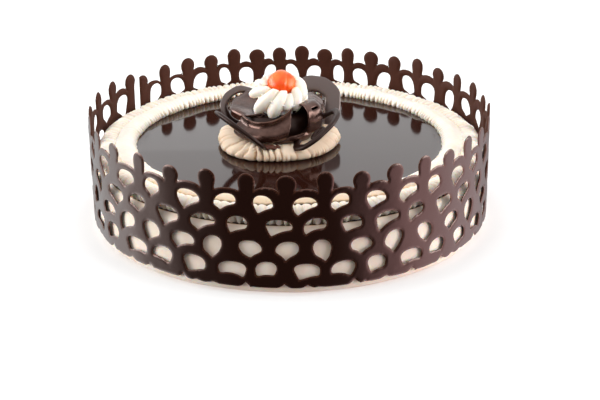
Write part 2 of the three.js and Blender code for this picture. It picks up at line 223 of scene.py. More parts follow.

# %% [markdown]
# Set dark chocolate is nearly black brown. Where it dried against a smooth film it shines, and where
# it dried in air it is dull and browner. Thin edges are painted a lighter red brown, as a painted
# highlight for the light that thin chocolate lets through and that its edges catch. The meshes carry
# two attributes for this: film is 1 on the shiny face, thin is 1 at an edge, where the highlight is
# painted. Where a piece has both faces, film_face gives the colour, roughness and shine of the film
# side. Scraped chocolate also loses some of its shine in patches, which is called bloom.

# %% Chocolate materials
def chocolate(name, body, edge, sheen, rough, level, wave_mm, bump_mm, bloom=0.0, film_face=None):
    film_body, film_rough, film_level = film_face or (body, rough, level)
    material, tree, place = new_material(name)
    film = add_node(tree, "ShaderNodeAttribute", {}, attribute_name="film").outputs["Fac"]
    thin = add_node(tree, "ShaderNodeAttribute", {}, attribute_name="thin").outputs["Fac"]
    face = add_node(tree, "ShaderNodeValToRGB", {"Fac": film}, stops=[(0, body), (1, film_body)])
    # Painted highlight: thin edges are mixed towards the lighter edge colour.
    tint = add_node(tree, "ShaderNodeMixRGB", {"Fac": thin, "Color1": face, "Color2": linear(edge)})
    dull = add_node(tree, "ShaderNodeMapRange", {"Value": film, "To Min": rough, "To Max": film_rough})
    shine = add_node(tree, "ShaderNodeMapRange", {"Value": film, "To Min": level, "To Max": film_level})
    spots = add_node(tree, "ShaderNodeTexNoise", {"Vector": place, "Scale": 1 / (7 * MM), "Detail": 3})
    patch = add_node(tree, "ShaderNodeMapRange", {
        "Value": spots, "From Min": 0.38, "From Max": 0.62, "To Min": 1 - bloom, "To Max": 1.0})
    gloss = add_node(tree, "ShaderNodeMath", {0: shine, 1: patch}, operation="MULTIPLY")
    waves = add_node(tree, "ShaderNodeTexNoise", {"Vector": place, "Scale": 1 / (wave_mm * MM), "Detail": 2})
    bump = add_node(tree, "ShaderNodeBump", {"Height": waves, "Strength": 0.5, "Distance": bump_mm * MM})
    skin = add_node(tree, "ShaderNodeBsdfPrincipled", {
        "Base Color": tint, "Roughness": dull, "IOR": 1.6, "Specular IOR Level": gloss,
        "Specular Tint": linear(sheen), "Normal": bump})
    add_node(tree, "ShaderNodeOutputMaterial", {"Surface": skin})
    return material


# Each edge colour is the painted highlight at thin edges.
collar_chocolate = chocolate(
    "dark chocolate, set on film", body="#40231A", edge="#4A2C20", sheen="#FFDCD2",
    rough=0.6, level=0.1, wave_mm=9, bump_mm=0.25, film_face=("#1E0A05", 0.22, 0.42))
curl_chocolate = chocolate(
    "dark chocolate, scraped into curls", body="#22100B", edge="#3E2418", sheen="#F6C4B4",
    rough=0.26, level=1.0, wave_mm=5, bump_mm=0.6, bloom=0.45)
plate_chocolate = chocolate(
    "dark chocolate, piped on film", body="#22100B", edge="#5A3526", sheen="#FFEAE4",
    rough=0.3, level=1.0, wave_mm=5, bump_mm=0.25)
dull_chocolate = chocolate(
    "dark chocolate, piped and dried in air", body="#1C0C07", edge="#3A2016", sheen="#FFE2DA",
    rough=0.4, level=0.25, wave_mm=5, bump_mm=0.25)
broken_chocolate = chocolate(
    "dark chocolate, broken", body="#4E281C", edge="#4E281C", sheen="#FFE2DA",
    rough=0.5, level=0.3, wave_mm=2, bump_mm=0.5)
print("chocolate:", collar_chocolate.name, "|", curl_chocolate.name, "|", plate_chocolate.name)

# %% [markdown]
# The poured glaze is sugar, cocoa and gelatine. It levels itself like a liquid, so it mirrors what
# is above it almost sharply. A very slow bump keeps the mirror a little alive. The cherry is boiled
# in syrup: the skin is wet and glossy, and the flesh under it is clear enough to glow.

# %% Glaze and cherry materials
def mirror_glaze():
    material, tree, place = new_material("cocoa mirror glaze, poured")
    patches = add_node(tree, "ShaderNodeTexNoise", {"Vector": place, "Scale": 1 / (25 * MM)})
    tint = add_node(tree, "ShaderNodeValToRGB", {"Fac": patches}, stops=[(0, "#240F0A"), (1, "#2B140D")])
    swell = add_node(tree, "ShaderNodeTexNoise", {"Vector": place, "Scale": 1 / (30 * MM), "Detail": 1})
    bump = add_node(tree, "ShaderNodeBump", {"Height": swell, "Strength": 0.15, "Distance": 0.2 * MM})
    skin = add_node(tree, "ShaderNodeBsdfPrincipled", {
        "Base Color": tint, "Roughness": 0.075, "IOR": 1.5, "Normal": bump})
    add_node(tree, "ShaderNodeOutputMaterial", {"Surface": skin})
    return material


def cherry_in_syrup():
    material, tree, place = new_material("candied cherry, in syrup")
    patches = add_node(tree, "ShaderNodeTexNoise", {"Vector": place, "Scale": 1 / (7 * MM), "Detail": 3})
    tint = add_node(tree, "ShaderNodeValToRGB", {"Fac": patches},
                    stops=[(0.35, "#F05414"), (0.65, "#F87630")])
    wrinkles = add_node(tree, "ShaderNodeTexNoise", {"Vector": place, "Scale": 1 / (4 * MM), "Detail": 3})
    bump = add_node(tree, "ShaderNodeBump", {"Height": wrinkles, "Strength": 0.35, "Distance": 0.4 * MM})
    skin = add_node(tree, "ShaderNodeBsdfPrincipled", {
        "Base Color": tint, "Roughness": 0.3, "IOR": 1.4, "Subsurface Weight": 0.4,
        "Subsurface Scale": 3 * MM, "Subsurface Radius": (1, 0.3, 0.1), "Normal": bump})
    add_node(tree, "ShaderNodeOutputMaterial", {"Surface": skin})
    return material


glaze_gloss = mirror_glaze()
cherry_skin = cherry_in_syrup()
print("gloss:", glaze_gloss.name, "|", cherry_skin.name)

# %% [markdown]
# The cake itself shows only through the collar: a wall of cream smoothed with a palette knife, which
# reaches the chocolate and draws in to a clean rim under the piped border. A spun profile is the
# quickest closed form, and a slow swell of half a millimetre keeps the wall from looking machined.
# The rim under the border and the top under the glaze are painted dark brown as deep shade.

# %% Cake body
WALL_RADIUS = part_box("cake")[1].x / MM + 0.3
WALL_TOP = 35
CAKE_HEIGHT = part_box("cake")[1].z / MM
FOOT_ROUND = 1.2
RIM_RADIUS = 121
RIM_HEIGHT = 40.4
RIM_INNER = 116
WALL_ROWS = 14
WALL_STEPS = 240
KNIFE_SWELL = 0.4


def share_of(value, start, end):
    return np.clip((value - start) / (end - start), 0, 1)


def cake_body():
    profile = [(0, 0), (WALL_RADIUS - FOOT_ROUND, 0)]
    profile += [(WALL_RADIUS, height) for height in np.linspace(FOOT_ROUND, WALL_TOP, WALL_ROWS)]
    profile += [(WALL_RADIUS - 1, WALL_TOP + 2.2), (RIM_RADIUS + 0.5, RIM_HEIGHT - 0.4)]
    profile += [(RIM_RADIUS, RIM_HEIGHT), (RIM_INNER, RIM_HEIGHT + 0.3)]
    profile += [(RIM_INNER, CAKE_HEIGHT), (0, CAKE_HEIGHT)]
    mesh = mesh_of(spun(profile, WALL_STEPS), "cake_body")
    radius, azimuth, height = polar(mesh)
    swell = np.sin(azimuth * 9 + height * 0.09) + np.sin(azimuth * 23 - height * 0.16) * 0.5
    push = share_of(radius, RIM_RADIUS - 2, RIM_RADIUS) * KNIFE_SWELL * (0.75 - swell / 2)
    set_points(mesh, round_points(radius - push, azimuth, height))
    # Painted shade: the rim and the top are painted deep brown.
    mark(mesh, "painted_shade", (height > RIM_HEIGHT - 0.1).astype(float))
    return mesh


finish_piece("cake_body", cake_body(), spread_cream, "cake")

# %% [markdown]
# The glaze is a shallow pool. It climbs a little where it meets the cream, as any liquid does, and
# its edge runs under the comb marks of the border, so the pool is made slightly wider than its solid
# and the border covers the rest. At the back left the pool has settled by about a millimetre, which
# stretches the posts that it mirrors there.

# %% Glaze pool
GLAZE_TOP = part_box("glaze")[1].z / MM
GLAZE_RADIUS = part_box("glaze")[1].x / MM
POOL_RADIUS = GLAZE_RADIUS + 2.6
CLIMB = 0.35
CLIMB_REACH = 1.2
CLIMB_STEPS = (0, 0.8, 1.8, 3.2, 6)
POOL_STEPS = 200
SETTLE = 0.014


def glaze_pool():
    floor = CAKE_HEIGHT + 0.1
    profile = [(0, floor), (POOL_RADIUS, floor), (POOL_RADIUS, GLAZE_TOP + CLIMB)]
    for step in CLIMB_STEPS:
        profile.append((GLAZE_RADIUS - step, GLAZE_TOP + CLIMB * math.exp(-step / CLIMB_REACH)))
    profile += [(step * 10, GLAZE_TOP) for step in range(8, -1, -1)]
    mesh = mesh_of(spun(profile, POOL_STEPS), "glaze_pool")
    points = points_of(mesh)
    x, y, height = points.T
    slope = share_of(-x, 5, 45) * np.clip(y + 15, 0, 75) * (height > floor + 0.5)
    points[:, 2] -= SETTLE * slope
    set_points(mesh, points)
    return mesh


finish_piece("glaze_pool", glaze_pool(), glaze_gloss, "glaze", sharp=50)

# %% [markdown]
# The border is a thick piped ring: a smooth inner swell, and round the outside a row of about a
# hundred and sixty small beads behind a sharp crease. The beads narrow downwards, so gaps stand
# between their feet. The inner swell carries finer comb lines, which end in small teeth above the
# glaze. The profile is spun in many narrow steps, and every step is then pulled towards the heart of
# the ring by the depth of the groove there. Away from the front the crease is filled, since the comb
# was pressed flatter on that side. Shade is painted into the cream: the gaps between the bead feet
# and between the teeth are painted dark brown, the crease is painted darker at the front as the
# collar's shadow, the inner swell is painted a warm tan at the front, and the comb grooves get a
# little painted shade, more on the beads away from the front.

# %% Combed border
RIDGES = 164
RIDGE_STEPS = 10
COMB_DEPTH = 0.5
BEAD_DEPTH = 1.5
GAP_DEPTH = 4.0
TOOTH_DEPTH = 3.0
TEETH_PER_RIDGE = 1.25
TOOTH_REACH = 0.9
CREASE_TOP = 51.3
RIDGE_SLANT = 0.6
HEART = (111, 45)
CREASE = 111.4
CREASE_SHADE = (50.3, 49.3)
BEAD_FOOT = (45, 40.5)
TOOTH_FOOT = (50.3, 47.9)
# The next two bands say in radius where shade is painted: on the crease, and as a warm tan on the inner
# swell.
CREASE_BAND = (108.5, 109.5, 112.2, 113)
WARM_SHADE_BAND = (103.5, 106.5, 111.2, 112.2)
FILL_BAND = (106, 108, 114, 116)
FILL_FLOOR = 46.3
FRONT_REACH = 0.8
BORDER_PROFILE = [
    (101.5, 45.4), (100.2, 46.0), (99.1, 46.6), (98.4, 47.3), (98.2, 48.1), (98.5, 49.2), (99.6, 50.5),
    (101.2, 51.5), (103.0, 52.2), (105.0, 52.4), (106.8, 52.0), (108.4, 51.2), (109.7, 50.1), (110.6, 48.8),
    (111.1, 47.4), (111.4, 46.6), (111.8, 47.6), (112.4, 48.9), (113.3, 50.0), (114.6, 50.8), (116.2, 51.2),
    (118.0, 51.1), (119.7, 50.5), (121.2, 49.5), (122.3, 48.1), (123.0, 46.4), (123.0, 44.6), (122.5, 43.0),
    (121.7, 41.6), (120.8, 40.6), (119.5, 40.5), (116.5, 43.0), (116.2, 45.4),
]


def between(value, band):
    start, full, fade, end = band
    return share_of(value, start, full) * share_of(value, end, fade)


def groove(across):
    return 1 - np.sqrt(1 - 0.92 * across ** 2)


def combed_border():
    mesh = mesh_of(spun(BORDER_PROFILE, RIDGES * RIDGE_STEPS, closed=True), "combed_border")
    radius, azimuth, height = polar(mesh)
    slanted = azimuth - RIDGE_SLANT * np.sin(azimuth) * (radius - HEART[0]) / 13 * TURN / RIDGES
    count = slanted / TURN * RIDGES + 0.22 * np.sin(azimuth * 31) + 0.3 * np.sin(azimuth * 7)
    outside = share_of(radius, CREASE - 1, CREASE + 1)
    count = np.where(outside > 0.5, count, count * TEETH_PER_RIDGE)
    ridge = np.floor(count)
    size = 1 + 0.3 * np.sin(ridge * 2.4) * np.sin(ridge * 0.7)
    across = np.abs(2 * (count - ridge) - 1)
    foot = share_of(radius, 119, 120) * share_of(height, *BEAD_FOOT) * (0.7 + 0.4 * wobble(ridge, 0, 1))
    tooth = share_of(radius, 101.6, 100) * share_of(height, *TOOTH_FOOT)
    tooth = tooth * (0.85 + 0.35 * wobble(ridge, 1, 1))
    bead = 1 - 0.4 * np.clip(foot, 0, 1) - 0.62 * np.clip(tooth, 0, 1)
    inside_bead = np.minimum(across / bead, 1)
    gap = share_of(across, bead - 0.02, bead + 0.08) * (np.maximum(foot, tooth) > 0.02)
    push = size * (COMB_DEPTH * groove(inside_bead) + BEAD_DEPTH * outside * inside_bead ** 2)
    push -= TOOTH_REACH * tooth * (1 - inside_bead ** 2)
    push += gap * np.where(outside > 0.5, GAP_DEPTH, TOOTH_DEPTH)
    push -= 0.25 * np.sin(azimuth * 5 + 1) + 0.2 * np.sin(azimuth * 13) + 0.2 * np.sin(azimuth * 29 + 2)
    buried = (height < 46.2) & (radius > 101) & (radius < 120)
    shrink = np.where(buried, 0, push) / np.hypot(radius - HEART[0], height - HEART[1])
    # The value marked below is painted shade: dark brown in the gaps, a darker crease at the front, a warm
    # tan on the front of the inner swell, and a little along the comb grooves.
    crease = share_of(height, *CREASE_SHADE) * between(radius, CREASE_BAND)
    facing = np.exp(-(azimuth / FRONT_REACH) ** 2)
    glow = 0.4 * facing * between(radius, WARM_SHADE_BAND)
    comb_line_shade = share_of(across, 0.6, 1) * (0.1 + 0.2 * outside * (1 - facing))
    shaded = np.maximum(np.maximum(crease * 0.9 * facing, glow), comb_line_shade)
    mark(mesh, "painted_shade", np.clip(np.maximum(gap, shaded), 0, 1))
    filled = 0.85 * (1 - facing) * between(radius, FILL_BAND) * (height > FILL_FLOOR)
    height = height + filled * (CREASE_TOP - height)
    set_points(mesh, round_points(
        radius - (radius - HEART[0]) * shrink, azimuth, height - (height - HEART[1]) * shrink))
    return mesh


finish_piece("combed_border", combed_border(), whipped_cream, "cream_border")

# %% [markdown]
# The collar is a strip of chocolate, piped as a lattice on film and stood round the cake while soft.
# Its posts, arches and four rows of loops are uneven, because they were drawn by hand. The clearest
# way to hold such an outline is a function that tells how deep a point lies inside the chocolate: it
# takes the least depth of the top edge, the lower edge, the two ends and every hole. First come the
# places of the posts along the strip, in millimetres from the first post.

# %% Places on the collar strip
COLLAR_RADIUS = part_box("collar")[1].x / MM
POSTS = 38
FIRST_POST = -121.6
STRIP_ANGLE = 354.2
DRIFT_MIDDLE = 11.5
SEAM_SAG = 4
SEAM_REACH = 2.2


def strip_azimuth(place):
    share = TURN * place / (POSTS - 1)
    slow = -0.49 * np.sin(share) + 8.45 * (1 - np.cos(share))
    quick = 0.81 * np.sin(2 * share) + 3.09 * (1 - np.cos(2 * share))
    return FIRST_POST + STRIP_ANGLE * place / (POSTS - 1) + slow + quick


def along_strip(place):
    return np.radians(strip_azimuth(place) - FIRST_POST) * COLLAR_RADIUS


def seam_sag(place):
    return SEAM_SAG * np.exp((place + 1 - POSTS) / SEAM_REACH)


def swing(place):
    return np.sin(TURN * (place - DRIFT_MIDDLE) / (POSTS - 1))


POST_ALONG = along_strip(np.arange(POSTS) - 0.1 * swing(np.arange(POSTS)))
STRIP_LENGTH = along_strip(POSTS - 1)
print("strip length:", round(STRIP_LENGTH), "mm")

# %% [markdown]
# The lattice was piped as rows of arched loops, each row hanging over the next. So a hole is domed by
# its own loop, and its lower side is cut by the backs of the two loops below, a stroke's width away.
# Where the rows are not quite staggered the point of the hole moves aside, which makes the beans and
# commas of the real collar. Each row gives the height of its loop tops, the rise of the dome, the
# width as a share of the spacing, how the row runs ahead of the posts, and the width of its stroke. The
# fifth row only stiffens the lower edge and has no holes. At the back the lower rows sink a little, so
# the first holes are tall.

# %% Loops of the lattice
BACK_SINK = (0, 4.0, 2.5, 1.0, 0)
LOOP_ROWS = [
    dict(top=60.4, dome=6.3, share=0.56, shift=0.44, tilt=-0.12, bow=0.0, stroke=5.0),
    dict(top=46.8, dome=5.0, share=0.6, shift=0.76, tilt=-0.17, bow=0.18, stroke=6.8),
    dict(top=33.2, dome=5.6, share=0.56, shift=0.97, tilt=-0.24, bow=0.59, stroke=6.6),
    dict(top=19.6, dome=4.7, share=0.63, shift=0.49, tilt=-0.15, bow=0.36, stroke=6.0),
    dict(top=5.0, dome=3.0, share=0.5, shift=0.55, tilt=-0.15, bow=0.36, stroke=6.6),
]
TAPER = 0.22
HOLE_DROP = 12
LOW_DROP = 6
CORNER = 1.5
ROUNDNESS = 2.3
FAR_OUTSIDE = -50.0


def loop_row(level, row):
    index = np.arange(-1, POSTS)
    side = swing(index + row["shift"])
    place = index + row["shift"] + row["tilt"] * side + row["bow"] * side ** 2
    place += (0.25 if level == 4 else 0.05) * wobble(index, level, 6)
    keep = (place > 0.35) & (place < POSTS - 1.35)
    index, place, side = index[keep], place[keep], side[keep]
    spacing = along_strip(place + 0.5) - along_strip(place - 0.5)
    sag = seam_sag(place) if level == 0 else 0
    back = share_of(-np.cos(np.radians(strip_azimuth(place))), 0.1, 0.6)
    return dict(
        stroke=row["stroke"], along=along_strip(place), skew=0.25 * wobble(index, level, 7),
        drop=LOW_DROP if level == 3 else HOLE_DROP, taper=TAPER * (1 - back),
        base=row["top"] - row["dome"] - 0.7 * side + 0.5 * wobble(index, level, 5)
        - 0.6 * sag - BACK_SINK[level] * back,
        dome=row["dome"] * (1 + 0.12 * wobble(index, level, 4)),
        half=spacing * row["share"] * (1 + 0.15 * wobble(index, level, 3)) / 2)


def loop_depth(row, along, height, narrowing):
    after = np.searchsorted(row["along"], along)
    best = np.full(along.shape, FAR_OUTSIDE)
    for step in (-2, -1, 0, 1):
        pick = np.clip(after + step, 0, len(row["along"]) - 1)
        rise = height - row["base"][pick]
        side = np.abs(along - row["along"][pick] - row["skew"][pick] * rise)
        over = np.maximum(rise, 0)
        reach = (side / row["half"][pick]) ** ROUNDNESS + (over / row["dome"][pick]) ** ROUNDNESS
        reach = reach ** (1 / ROUNDNESS) + 1e-6
        above = (1 - reach) * np.hypot(side, over) / reach
        half = row["half"][pick] + narrowing * row["taper"][pick] * rise
        below = np.minimum(half - side, row["drop"] + rise)
        best = np.maximum(best, np.where(rise > 0, above, below))
    return best


def softly_larger(first, second):
    return (first + second + np.sqrt((first - second) ** 2 + CORNER ** 2)) / 2


LOOPS = [loop_row(level, row) for level, row in enumerate(LOOP_ROWS)]
print([len(row["along"]) for row in LOOPS], "loops in the rows")

# %% [markdown]
# The top edge is a row of round-headed posts with a flat arch between each two. A post is a paddle:
# a narrow neck and a wider round head. The lower edge is a chain of shallow bows with a nick between
# them, left by the nozzle.

# %% Edges of the lattice
POST_HEAD = 5.3
POST_NECK = 4.3
POST_TIP = 73.6
HEAD_DROP = 5.5
ARCH_CROWN = 65
ARCH_SPRING = 62.3
COLLAR_BOTTOM = 4
EDGE_NICKS = 60
NICK_HEIGHT = 2.2
NICK_REACH = 5
NICK_MARGIN = 5
END_HALF = 4.75


def post_depth(post, along, height):
    side = np.abs(along - POST_ALONG[post])
    head = POST_HEAD * (1 + 0.09 * wobble(post, 0, 3))
    shoulder = POST_TIP + 1.1 * wobble(post, 0, 1) - seam_sag(post) - HEAD_DROP
    spring = ARCH_SPRING - seam_sag(post)
    rise = np.clip((height - spring) / (shoulder - spring), 0, 1)
    half = POST_NECK + (head - POST_NECK) * (0.5 - 0.5 * np.cos(math.pi * rise))
    over = np.maximum(height - shoulder, 0)
    reach = np.hypot(side / head, over / HEAD_DROP) + 1e-6
    return np.where(height < shoulder, half - side, (1 - reach) * np.hypot(side, over) / reach)


def top_depth(along, height):
    depth = np.full(along.shape, FAR_OUTSIDE)
    for post in range(POSTS - 1):
        start, end = POST_ALONG[post], POST_ALONG[post + 1]
        half = (end - start) / 2 - POST_NECK
        bow = np.sqrt(np.clip(1 - ((along - (start + end) / 2) / half) ** 2, 0, 1))
        spring = ARCH_SPRING - seam_sag(post + 0.5)
        crown = ARCH_CROWN + 0.7 * wobble(post, 0, 2) - seam_sag(post + 0.5)
        inside = (along >= start) & (along <= end)
        depth[inside] = (spring + (crown - spring) * bow - height)[inside]
    for post in range(POSTS):
        depth = np.maximum(depth, post_depth(post, along, height))
    return depth


def lower_edge(along):
    nicks = np.arange(EDGE_NICKS)
    share = (nicks + 0.35 * wobble(nicks, 5, 3)) / EDGE_NICKS
    place = np.radians(NICK_MARGIN + (STRIP_ANGLE - 2 * NICK_MARGIN) * share) * COLLAR_RADIUS
    peak = NICK_HEIGHT * (0.8 + 0.7 * wobble(nicks, 4, 2))
    nearest = np.abs(along[:, None] - place[None, :])
    index = nearest.argmin(axis=1)
    share = np.clip(1 - nearest.min(axis=1) / NICK_REACH, 0, 1)
    return COLLAR_BOTTOM + np.maximum(peak[index], 0.2) * share ** 2


def lattice_depth(along, height):
    depth = np.minimum(top_depth(along, height), height - lower_edge(along))
    depth = np.minimum(depth, np.minimum(along, STRIP_LENGTH - along) + END_HALF)
    for row, under in zip(LOOPS[:-1], LOOPS[1:]):
        back = loop_depth(under, along, height, 0) + under["stroke"]
        depth = np.minimum(depth, softly_larger(-loop_depth(row, along, height, 1), back))
    return depth


print("depth at the foot of post 5:", lattice_depth(POST_ALONG[5:6], np.array([60.0])).round(1))

# %% [markdown]
# The strip starts as a flat grid with cells of a millimetre. Faces outside the chocolate are deleted,
# and the ragged edge that this leaves is slid onto the true outline by a few Newton steps, which use
# the slope of the depth function. A Boolean modifier with a hundred and fifty cutters would also work,
# but it would leave long thin faces that shade badly.

# %% Flat lattice strip
CELL = 1.0
STRIP_LOW, STRIP_HIGH = 2.0, 77.0


def slide_to_edge(along, height, steps=4):
    tiny = 0.02
    for _ in range(steps):
        depth = lattice_depth(along, height)
        slope_along = (lattice_depth(along + tiny, height) - depth) / tiny
        slope_height = (lattice_depth(along, height + tiny) - depth) / tiny
        steep = np.maximum(slope_along ** 2 + slope_height ** 2, 0.2)
        move = np.clip(depth, -0.8, 0.8) / steep
        along = along - move * slope_along
        height = height - move * slope_height
    return along, height


def flat_lattice():
    length = STRIP_LENGTH + 2 * END_HALF + 2
    tall = STRIP_HIGH - STRIP_LOW
    place = Matrix.Translation((STRIP_LENGTH / 2, (STRIP_LOW + STRIP_HIGH) / 2, 0))
    shape = bmesh.new()
    bmesh.ops.create_grid(shape, x_segments=round(length / CELL), y_segments=round(tall / CELL), size=0.5,
                          matrix=place @ Matrix.Diagonal((length, tall, 1, 1)))
    middles = np.array([face.calc_center_median() for face in shape.faces])
    inside = lattice_depth(middles[:, 0], middles[:, 1]) > 0
    waste = [face for face, keep in zip(shape.faces, inside) if not keep]
    bmesh.ops.delete(shape, geom=waste, context="FACES")
    edge = [vert for vert in shape.verts if vert.is_boundary]
    places = np.array([vert.co for vert in edge])
    along, height = slide_to_edge(places[:, 0], places[:, 1])
    for vert, new_along, new_height in zip(edge, along, height):
        vert.co = (new_along, new_height, 0)
    bmesh.ops.remove_doubles(shape, verts=shape.verts, dist=0.12)
    inner = [vert for vert in shape.verts if not vert.is_boundary]
    for _ in range(3):
        bmesh.ops.smooth_vert(shape, verts=inner, factor=0.5, use_axis_x=True, use_axis_y=True)
    return shape


strip = flat_lattice()
print("strip faces:", len(strip.faces))

# %% [markdown]
# Piped chocolate is flat on the film side and domed on the other. So the strip is extruded once, the
# new side swells with the depth from the edge, the film side gets a small rounded edge, and then both
# are bent round the cake. The two attributes for the material are written at the same time.

# %% Bent collar
FILM_INSET = 0.4
EDGE_ROUND = 0.45
EDGE_REACH = 0.6
BEAD_EDGE = 0.7
BEAD_RISE = 1.1
BEAD_REACH = 3.5


def bent_collar(shape):
    film = shape.verts.layers.float.new("film")
    for vert in shape.verts:
        vert[film] = 1
    made = bmesh.ops.extrude_face_region(shape, geom=shape.faces[:], use_keep_orig=True)
    for item in made["geom"]:
        if isinstance(item, bmesh.types.BMVert):
            item[film] = 0
            item.co.z = 1
    mesh = mesh_of(shape, "chocolate_collar")
    points = points_of(mesh)
    along, height, bead = points.T
    depth = np.clip(lattice_depth(along, height), 0, BEAD_REACH)
    round_edge = EDGE_ROUND * np.clip(1 - depth / EDGE_REACH, 0, 1) ** 2
    dome = BEAD_EDGE + BEAD_RISE * np.sqrt(np.clip(1 - (1 - depth / BEAD_REACH) ** 2, 0, 1))
    azimuth = math.radians(FIRST_POST) + along / COLLAR_RADIUS
    sway = 0.2 * np.sin(azimuth * 11) + 0.15 * np.sin(azimuth * 23 + height * 0.05)
    radius = COLLAR_RADIUS - FILM_INSET + sway - np.where(bead > 0.5, dome, round_edge)
    set_points(mesh, round_points(radius, azimuth, height))
    # The thin value paints a lighter red brown highlight along the edges of the lattice.
    mark(mesh, "thin", np.clip(1 - depth / EDGE_REACH, 0, 1))
    return mesh


finish_piece("chocolate_collar", bent_collar(strip), collar_chocolate, "collar",
             sharp=55)

# %% [markdown]
# Under the chocolate lies a low ring of cream from a ribbon nozzle, folded back and forth as it was
# laid. The folds are broad on the left, tight and deep at the front and shallow on the right. One
# spun profile is pushed in and out by a wave whose pitch and depth change along the ring. Away from
# the front the lower edge is nicked.

# %% Folded cream base
CENTRE = Vector((-6.5, 0, 0))
BASE_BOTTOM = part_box("cream_base")[0].z / MM
FOLDS = 26
FRONT_FOLDS = 1.4
FRONT_MIDDLE = -0.36
FRONT_WIDTH = 0.4
NOTCHES = 58
NOTCH_SPAN = (5.5, 2.6)
BASE_STEPS = 600
BASE_RADIUS = 40
FOLDED_BAND = (22, 37)
BASE_PROFILE = [
    (0, 0), (37.0, 0), (38.8, 0.4), (39.9, 1.3), (40.3, 2.6), (40.0, 3.9), (39.0, 5.2), (37.4, 6.3),
    (35.4, 7.1), (33.0, 7.6), (30.0, 7.9), (26.0, 7.9), (20.0, 7.7), (0, 7.5),
]


def folded_base():
    mesh = mesh_of(spun(BASE_PROFILE, BASE_STEPS), "folded_cream_base")
    radius, azimuth, height = polar(mesh)
    outer = share_of(radius, *FOLDED_BAND)
    front = (azimuth - FRONT_MIDDLE) / FRONT_WIDTH
    pitch = FOLDS / (TURN + 2 * FRONT_FOLDS * FRONT_WIDTH)
    count = pitch * (azimuth + FRONT_FOLDS * FRONT_WIDTH * np.tanh(front))
    near_front = 1 / np.cosh(front) ** 2
    count += near_front * 0.4 * np.sin((BASE_RADIUS - radius) * 0.45 + azimuth * 5)
    count += (1 - near_front) * (BASE_RADIUS - radius) * 0.03 * np.sin(azimuth * 2 + 1)
    count += 0.2 * np.sin(azimuth * 5) + 0.12 * np.sin(azimuth * 11 + 1)
    fold = np.floor(count)
    size = 1 + 0.55 * np.sin(fold * 2.4)
    right = np.exp(-((azimuth - 1.1) / 0.8) ** 2)
    left = np.exp(-((azimuth + 1.2) / 0.5) ** 2)
    deep = (1.3 + 3.4 * near_front - 1.0 * right - 0.6 * left) * size
    valley = groove(2 * (count - fold) - 1)
    notch = azimuth / TURN * NOTCHES + 1.2 * np.sin(azimuth * 9)
    uneven = 0.7 + 0.6 * wobble(np.floor(notch), 0, 2)
    nicked = (2 * (notch - np.floor(notch)) - 1) ** 2
    spikes = share_of(height, *NOTCH_SPAN) * (1 - near_front) * nicked * uneven
    narrow = 1.2 * np.sin(azimuth) ** 2 + 0.9 * np.sin(azimuth)
    narrow += 0.6 * np.sin(azimuth * 5 + 2) + 0.7 * np.sin(azimuth * 3 + 0.5)
    push = outer * (deep * valley + (1.7 + 0.9 * right) * spikes + narrow)
    lift = outer * share_of(height, 0.5, 5) * (0.8 * np.sin(azimuth * 4 + 2) - 0.9 * deep * valley)
    # Painted shade: the fold valleys are painted a darker tan, more at the front, and the nicks at the lower
    # edge are painted darker too.
    valley_shade = share_of(valley, 0.35, 0.72) * (0.45 + 0.3 * near_front - 0.3 * right - 0.2 * left)
    nick_shade = 0.7 * share_of(spikes, 0.55, 1.1)
    mark(mesh, "painted_shade", outer * np.maximum(valley_shade, nick_shade))
    moved = round_points(radius - push + outer * 0.4, azimuth, BASE_BOTTOM + height + lift)
    set_points(mesh, moved + np.array(CENTRE))
    return mesh


finish_piece("folded_cream_base", folded_base(), piped_cream, "cream_base")

# %% [markdown]
# The ruffle is made of chocolate scraped off a slab with a blade: broad sheets that curl as they come
# away. Each sheet is a grid whose one side runs round the decoration and whose other side follows a
# bent section from foot to rim, blended smoothly through a few points. The ends of a sheet can
# rise, draw in or slant, and one sheet has a small torn hole. Solidify then gives every sheet its
# thickness, and subdivision rounds the rims. A plain core of dull dark chocolate stands in for the
# deep shade between the sheets: it is a dark piece put there as painted shade, to keep those gaps black.

# %% Chocolate ruffle
SHEET = 1.3
SHEET_COLUMNS, SHEET_ROWS = 34, 18
HOLE_HALF = (0.07, 0.03)
RIM_SHARE = 0.93
BLEND_REACH = 0.6
CORE_STEPS = 48
CORE_PROFILE = [(0, 54.6), (22, 54.6), (21.5, 60), (21, 68), (14, 69), (0, 69)]
CURLS = {
    "curl_front": dict(start=-66, end=22, rise=(3.5, 10.5), draw=(1, 4), slant=(0, -14), crease=0.4,
                       section=[(26, 55), (30, 55), (31.8, 56.5), (31.9, 58.4), (31.3, 60), (29.6, 61.4),
                                (27.8, 62.4), (27.2, 64.3), (27.4, 66.8)]),
    "curl_low": dict(start=-8, end=45, rise=(-5, 1), draw=(1, 1), slant=(0, 0), crease=0.3,
                     section=[(25.5, 54.5), (27.4, 55.5), (28.9, 57), (29.7, 58.9), (29, 61)]),
    "curl_left": dict(start=-140, end=-35, rise=(7, 2), draw=(-4, 15), slant=(0, 0), crease=0.9,
                      section=[(10, 66), (16, 67.7), (22, 68.8), (27, 69.2), (30, 68.6), (31.4, 67)]),
    "curl_right": dict(start=38, end=135, rise=(-1, -5), draw=(1, 3), slant=(4, 0), crease=1.2,
                       hole=(0.15, 0.66),
                       section=[(10, 66), (13.8, 73.7), (18.6, 77.4), (24.2, 78.2), (29, 75),
                                (30.8, 68), (30, 60)]),
    "curl_back": dict(start=128, end=232, rise=(1, -1), draw=(2, 2), slant=(0, 0), crease=0.7,
                      section=[(18, 56), (23.8, 60.3), (26.2, 66), (25.3, 70.9), (21, 73)]),
}


def curved(points, share):
    spot = share * (len(points) - 1)
    weights = [math.exp(-((spot - index) / BLEND_REACH) ** 2) for index in range(len(points))]
    return np.average(points, axis=0, weights=weights)


